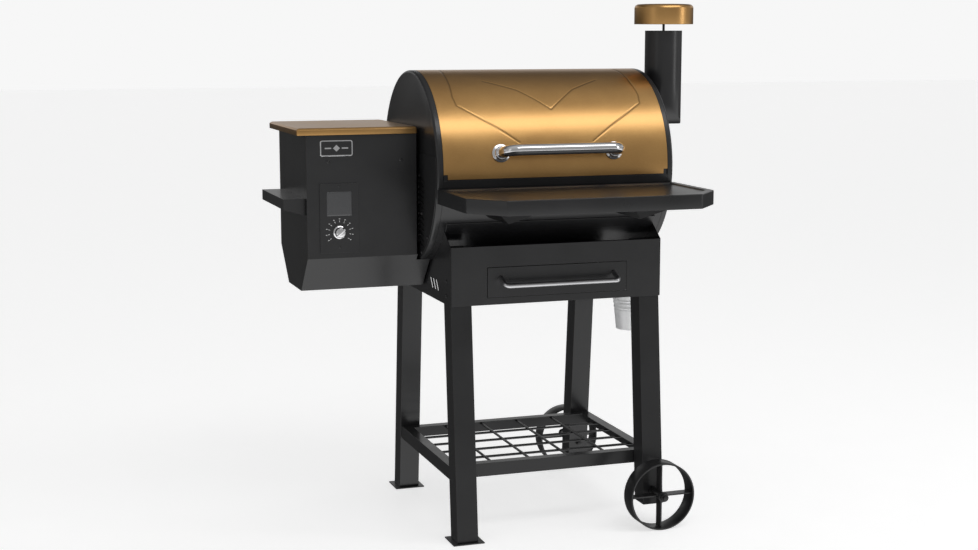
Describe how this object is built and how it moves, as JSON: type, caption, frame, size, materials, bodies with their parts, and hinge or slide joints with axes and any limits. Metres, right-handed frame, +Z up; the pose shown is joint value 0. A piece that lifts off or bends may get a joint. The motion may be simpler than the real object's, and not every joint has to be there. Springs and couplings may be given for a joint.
{
  "type": "pellet smoker grill",
  "caption": "Barrel smoker grill on a wheeled four-leg stand, with a hinged lid, side pellet hopper and controller, front shelf, drawer, chimney and grease bucket.",
  "frame": {"origin": "on the ground at the middle of the four legs, below the barrel's axis", "axes": "+X towards the chimney end along the barrel's axis, -Y towards the front shelf, +Z up"},
  "size_m": [1.0355, 0.841, 1.219],
  "materials": {
    "black_paint": "semi-gloss powder coat",
    "bronze_paint": "metallic bronze, satin",
    "polished_chrome": "polished",
    "satin_steel": "satin",
    "galvanised_steel": "galvanised",
    "enamelled_iron": "porcelain enamel",
    "bare_steel": "mill finish",
    "black_plastic": "matte",
    "cast_aluminium": "cast",
    "display_glass": "gloss"
  },
  "bodies": {
    "frame": {"apron_front": "black_paint", "auger_motor": "black_plastic", "auger_tube": "galvanised_steel", "axle_nuts": "black_paint", "axle_stubs": "black_paint", "badge_plate": "polished_chrome", "barrel_end_left": "black_paint", "barrel_end_right": "black_paint", "barrel_shell": "black_paint", "bucket_hook": "satin_steel", "chimney_pipe": "black_paint", "chimney_stem": "black_paint", "controller_panel": "black_paint", "cooking_grate": "enamelled_iron", "display_lens": "display_glass", "drawer_runners": "galvanised_steel", "drip_tray": "bare_steel", "fan_housing": "black_plastic", "firepot": "bare_steel", "fixed_hinge_leaves": "black_paint", "foot_plates": "black_paint", "front_shelf": "black_paint", "grate_ledges": "galvanised_steel", "grease_spout": "galvanised_steel", "heat_baffle": "bare_steel", "heat_shield": "black_paint", "hinge_pins": "satin_steel", "hopper_body": "black_paint", "hopper_funnel": "galvanised_steel", "igniter_and_probe": "satin_steel", "leg_front_left": "black_paint", "leg_front_right": "black_paint", "leg_rear_left": "black_paint", "leg_rear_right": "black_paint", "panel_screws": "satin_steel", "power_inlet": "black_plastic", "shelf_brackets": "black_paint", "shelf_frame": "black_paint", "shelf_grid": "black_paint", "side_handle": "black_paint", "side_panel_left": "black_paint", "side_panel_right": "black_paint", "stand_crossbars": "black_paint", "warming_rack": "enamelled_iron"},
    "lid": {"lid_shell": "bronze_paint", "lid_handle": "polished_chrome", "handle_fixings": "polished_chrome", "lid_hinge_leaves": "black_paint"},
    "hopper_cover": {"hopper_lid": "bronze_paint"},
    "drawer": {"drawer_box": "galvanised_steel", "drawer_front": "black_paint", "drawer_pull": "satin_steel"},
    "knob": {"control_knob": "satin_steel"},
    "front_wheel": {"wheel_front": "black_paint"},
    "rear_wheel": {"wheel_rear": "black_paint"},
    "auger": {"auger_screw": "satin_steel"},
    "impeller": {"fan_impeller": "cast_aluminium"},
    "bail": {"bucket_bail": "satin_steel"},
    "bucket": {"grease_bucket": "galvanised_steel"},
    "rain_cap": {"chimney_cap": "bronze_paint"}
  },
  "joints": [
    {"name": "lid_hinge", "type": "hinge", "parent": "frame", "child": "lid", "pos_m": [0, 0.14363, 1.02219], "axis": [-1, 0, 0], "range_deg": [0, 80]},
    {"name": "hopper_lid_hinge", "type": "hinge", "parent": "frame", "child": "hopper_cover", "pos_m": [-0.435, 0.215, 0.9275], "axis": [-1, 0, 0], "range_deg": [0, 95]},
    {"name": "drawer_slide", "type": "slide", "parent": "frame", "child": "drawer", "axis": [0, -1, 0], "range_m": [0, 0.24]},
    {"name": "knob_turn", "type": "hinge", "parent": "frame", "child": "knob", "pos_m": [-0.479, -0.1, 0.704], "axis": [0, -1, 0], "range_deg": [-135, 135]},
    {"name": "front_wheel_spin", "type": "hinge", "parent": "frame", "child": "front_wheel", "pos_m": [0.231, -0.2955, 0.08], "axis": [0, 1, 0], "continuous": true},
    {"name": "rear_wheel_spin", "type": "hinge", "parent": "frame", "child": "rear_wheel", "pos_m": [0.231, 0.2955, 0.08], "axis": [0, 1, 0], "continuous": true},
    {"name": "auger_spin", "type": "hinge", "parent": "frame", "child": "auger", "pos_m": [-0.3, 0.03, 0.668], "axis": [1, 0, 0], "continuous": true},
    {"name": "fan_spin", "type": "hinge", "parent": "frame", "child": "impeller", "pos_m": [-0.376, 0.066, 0.603], "axis": [1, 0, 0], "continuous": true},
    {"name": "bail_swing", "type": "hinge", "parent": "frame", "child": "bail", "pos_m": [0.292, 0, 0.5839], "axis": [1, 0, 0], "range_deg": [-10, 10]},
    {"name": "bucket_tilt", "type": "hinge", "parent": "bail", "child": "bucket", "pos_m": [0.292, 0, 0.514], "axis": [0, 1, 0], "range_deg": [-7, 7]},
    {"name": "rain_cap_turn", "type": "hinge", "parent": "frame", "child": "rain_cap", "pos_m": [0.361, 0, 1.19], "axis": [0, 0, 1], "continuous": true}
  ]
}
